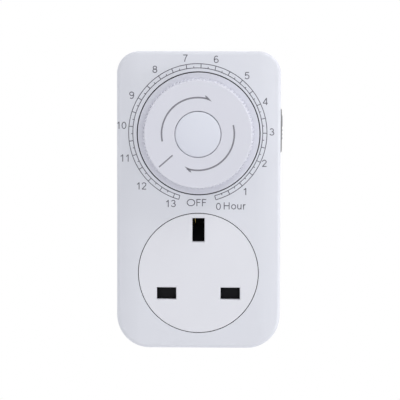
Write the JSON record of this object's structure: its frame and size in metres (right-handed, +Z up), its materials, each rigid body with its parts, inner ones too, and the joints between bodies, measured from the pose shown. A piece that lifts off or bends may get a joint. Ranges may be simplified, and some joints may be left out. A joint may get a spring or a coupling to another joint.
{
  "type": "plug-in timer switch",
  "caption": "Three-pin plug-through countdown timer: ribbed dial on a gear train, side override slide and shuttered outlet.",
  "frame": {"origin": "middle of the rear cover's flat back face, in the plane of the wall socket that the pins go into", "axes": "+Y out of the back along the plug pins, +Z up with the dial above the outlet, +X to the right seen from the front"},
  "size_m": [0.0583, 0.069, 0.1036],
  "materials": {
    "case_plastic": "smooth satin moulded ABS",
    "outlet_plastic": "smooth satin moulded ABS",
    "dial_plastic": "fine satin moulded ABS",
    "cap_plastic": "smooth moulded ABS",
    "slide_grey": "matt moulded plastic",
    "slider_plastic": "satin moulded plastic",
    "nickel_plate": "bright nickel-plated brass",
    "black_plastic": "matt black moulding",
    "zinc_steel": "zinc-plated steel",
    "spring_steel": "spring steel",
    "contact_brass": "rolled brass strip",
    "contact_silver": "silver alloy rivet",
    "acetal_white": "natural acetal",
    "cream_plastic": "cream moulding",
    "wire_insulation": "brown PVC insulation"
  },
  "bodies": {
    "case": {"front_cover": "case_plastic", "rear_cover": "case_plastic", "socket_face": "outlet_plastic", "slide_bezel": "slide_grey", "earth_pin": "nickel_plate", "live_pin": "nickel_plate", "neutral_pin": "nickel_plate", "live_pin_sleeve": "black_plastic", "neutral_pin_sleeve": "black_plastic", "case_screws": "zinc_steel", "dial_bush": "contact_brass", "idler_arbor": "zinc_steel", "motor_case": "zinc_steel", "motor_terminals": "cream_plastic", "motor_screws": "zinc_steel", "motor_leads": "wire_insulation", "gear_plate": "cream_plastic", "plate_screws": "zinc_steel", "switch_lever": "black_plastic", "lever_pin": "zinc_steel", "moving_contact_leaf": "contact_brass", "moving_contact": "contact_silver", "fixed_contact_leaf": "contact_brass", "fixed_contact": "contact_silver", "switch_block": "black_plastic", "shutter_spring": "spring_steel", "socket_base": "black_plastic", "earth_socket_contact": "contact_brass", "live_socket_contact": "contact_brass", "neutral_socket_contact": "contact_brass", "live_busbar": "contact_brass", "switched_live_busbar": "contact_brass", "neutral_busbar": "contact_brass", "earth_strap": "contact_brass"},
    "drive": {"drive_wheel": "acetal_white"},
    "dial": {"dial_knob": "dial_plastic", "dial_cap": "cap_plastic", "dial_screw": "zinc_steel", "dial_shaft": "nickel_plate", "shaft_clip": "spring_steel", "clutch_spring": "spring_steel", "cam_disc": "cream_plastic"},
    "idler": {"idler_gear": "acetal_white"},
    "motor_output": {"motor_pinion": "contact_brass"},
    "override_slide": {"slide_button": "slider_plastic", "override_link": "black_plastic"},
    "shutter": {"shutter": "black_plastic"}
  },
  "joints": [
    {"name": "drive_turn", "type": "hinge", "parent": "case", "child": "drive", "pos_m": [0, -0.025, 0.0233], "axis": [0, 1, 0], "continuous": true},
    {"name": "dial_set", "type": "hinge", "parent": "drive", "child": "dial", "pos_m": [0, -0.025, 0.0233], "axis": [0, 1, 0], "continuous": true},
    {"name": "idler_turn", "type": "hinge", "parent": "case", "child": "idler", "pos_m": [-0.01342, -0.025, 0.03341], "axis": [0, 1, 0], "continuous": true},
    {"name": "motor_turn", "type": "hinge", "parent": "case", "child": "motor_output", "pos_m": [-0.00214, -0.025, 0.03751], "axis": [0, 1, 0], "continuous": true},
    {"name": "override_travel", "type": "slide", "parent": "case", "child": "override_slide", "axis": [0, 0, -1], "range_m": [0, 0.0023]},
    {"name": "shutter_drop", "type": "slide", "parent": "case", "child": "shutter", "axis": [0, 0, -1], "range_m": [0, 0.0053], "stiffness_N_per_m": 120, "springref_m": -0.004, "deforming": ["shutter_spring"]}
  ],
  "couplings": [
    {"joint": "idler_turn", "follows": "drive_turn", "ratio": -3.8},
    {"joint": "motor_turn", "follows": "drive_turn", "ratio": 14.44}
  ]
}
